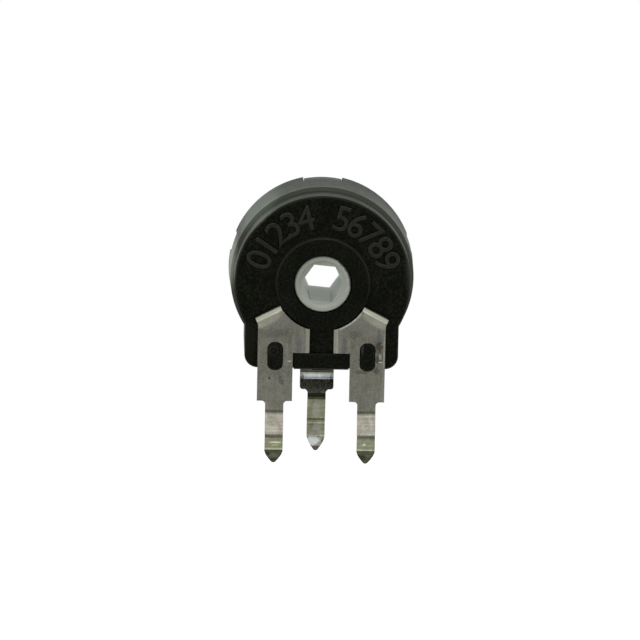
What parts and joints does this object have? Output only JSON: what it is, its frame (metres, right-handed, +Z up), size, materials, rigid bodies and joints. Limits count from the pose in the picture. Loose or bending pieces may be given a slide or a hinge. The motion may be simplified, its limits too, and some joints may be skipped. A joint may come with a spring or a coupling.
{
  "type": "trimmer potentiometer",
  "caption": "Round moulded trimmer potentiometer with a hexagonal through socket, standing upright on kinked pins for a circuit board.",
  "frame": {"origin": "on the rotor's axis, in the plane of the back hub's face", "axes": "+Z up with the pins pointing down, +Y along the rotor's axis from the back hub to the front, +X to the right seen from the back"},
  "size_m": [0.0102, 0.0057, 0.0151],
  "materials": {
    "body_plastic": "fine moulded matt black",
    "cover_plastic": "fine moulded matt black",
    "rotor_plastic": "satin off-white moulding",
    "tinned_brass": "tinned sheet, dull and lightly stained",
    "wiper_brass": "rolled spring strip",
    "laminate": "pressed paper laminate",
    "carbon_film": "printed carbon",
    "silver_film": "printed silver"
  },
  "bodies": {
    "body": {"housing": "body_plastic", "front_cover": "cover_plastic", "substrate": "laminate", "carbon_track": "carbon_film", "left_end_pad": "silver_film", "right_end_pad": "silver_film", "left_terminal": "tinned_brass", "right_terminal": "tinned_brass", "collector_terminal": "tinned_brass"},
    "rotor": {"rotor": "rotor_plastic", "wiper_spring": "wiper_brass"}
  },
  "joints": [
    {"name": "rotor_turn", "type": "hinge", "parent": "body", "child": "rotor", "pos_m": [0, 0, 0], "axis": [0, 1, 0], "range_deg": [-120.3, 109.7]}
  ]
}
